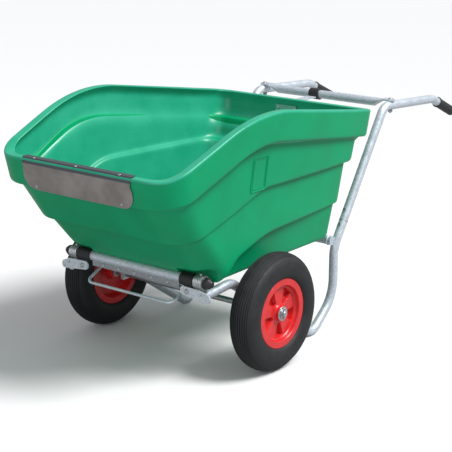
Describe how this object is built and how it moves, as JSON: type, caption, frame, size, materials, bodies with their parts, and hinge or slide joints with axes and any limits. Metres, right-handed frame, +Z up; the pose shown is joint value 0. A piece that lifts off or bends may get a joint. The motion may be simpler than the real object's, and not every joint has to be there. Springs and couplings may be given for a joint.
{
  "type": "two-wheeled tipping barrow",
  "caption": "Tipping barrow with a stepped plastic tub hinged at the front of a galvanised tube frame, pneumatic wheels, handles with grips and a rear catch.",
  "frame": {"origin": "on the ground under the middle of the bounding box", "axes": "+X forward towards the tipping lip, +Y to the left of someone pushing, +Z up; the axle is 380.5 mm forward of the origin"},
  "size_m": [1.8285, 0.8382, 0.8711],
  "materials": {
    "tub_plastic": "satin, rotation moulded",
    "wear_sheet": "dull, brushed",
    "galvanised": "hot-dip galvanised, satin spangle",
    "zinc_hardware": "zinc plated",
    "black_plastic": "satin",
    "grip_rubber": "soft, matt",
    "tyre": "matt",
    "tube_rubber": "matt",
    "wheel_red": "semi-gloss",
    "valve_brass": "plain",
    "bush_plastic": "plain"
  },
  "bodies": {
    "frame": {"splice_bolts": "zinc_hardware", "rear_cross_member": "galvanised", "top_cross_tube": "galvanised", "top_bolts": "zinc_hardware", "top_nuts": "zinc_hardware", "hinge_plate_bolts": "zinc_hardware", "hinge_plate_nuts": "zinc_hardware", "axle": "zinc_hardware", "axle_washers": "zinc_hardware", "split_pins": "zinc_hardware", "side_tube_left": "galvanised", "side_tube_right": "galvanised", "upper_leg_left": "galvanised", "upper_leg_right": "galvanised", "handle_left": "galvanised", "handle_right": "galvanised", "grip_left": "grip_rubber", "grip_right": "grip_rubber", "hinge_plate_left": "galvanised", "hinge_plate_right": "galvanised", "hinge_bush_left": "black_plastic", "hinge_bush_right": "black_plastic", "axle_saddle_left": "galvanised", "axle_saddle_right": "galvanised"},
    "tub": {"tub": "tub_plastic", "wear_plate": "wear_sheet", "wear_plate_screws": "zinc_hardware", "hinge_tube": "galvanised", "hinge_strip": "galvanised", "hinge_strip_screws": "zinc_hardware", "hinge_collar_left": "galvanised", "hinge_collar_right": "galvanised", "collar_screws": "zinc_hardware", "hinge_cap_left": "black_plastic", "hinge_cap_right": "black_plastic", "catch_bar": "galvanised", "catch_plate": "zinc_hardware", "catch_screws": "zinc_hardware", "front_bar": "galvanised", "front_bar_clips": "zinc_hardware", "front_bar_clip_screws": "zinc_hardware"},
    "catch": {"catch_sleeve": "black_plastic"},
    "wheel_left": {"tyre_left": "tyre", "inner_tube_left": "tube_rubber", "wheel_centre_left": "wheel_red", "valve_left": "valve_brass", "hub_bushes_left": "bush_plastic"},
    "wheel_right": {"tyre_right": "tyre", "inner_tube_right": "tube_rubber", "wheel_centre_right": "wheel_red", "valve_right": "valve_brass", "hub_bushes_right": "bush_plastic"}
  },
  "joints": [
    {"name": "tub_tip", "type": "hinge", "parent": "frame", "child": "tub", "pos_m": [0.6355, 0, 0.346], "axis": [0, 1, 0], "range_deg": [0, 85]},
    {"name": "wheel_left_spin", "type": "hinge", "parent": "frame", "child": "wheel_left", "pos_m": [0.3805, 0.369, 0.2], "axis": [0, 1, 0], "continuous": true},
    {"name": "wheel_right_spin", "type": "hinge", "parent": "frame", "child": "wheel_right", "pos_m": [0.3805, -0.369, 0.2], "axis": [0, 1, 0], "continuous": true},
    {"name": "catch_turn", "type": "hinge", "parent": "frame", "child": "catch", "pos_m": [-0.44758, -0.045, 0.76198], "axis": [0, 1, 0], "range_deg": [0, 180]}
  ]
}
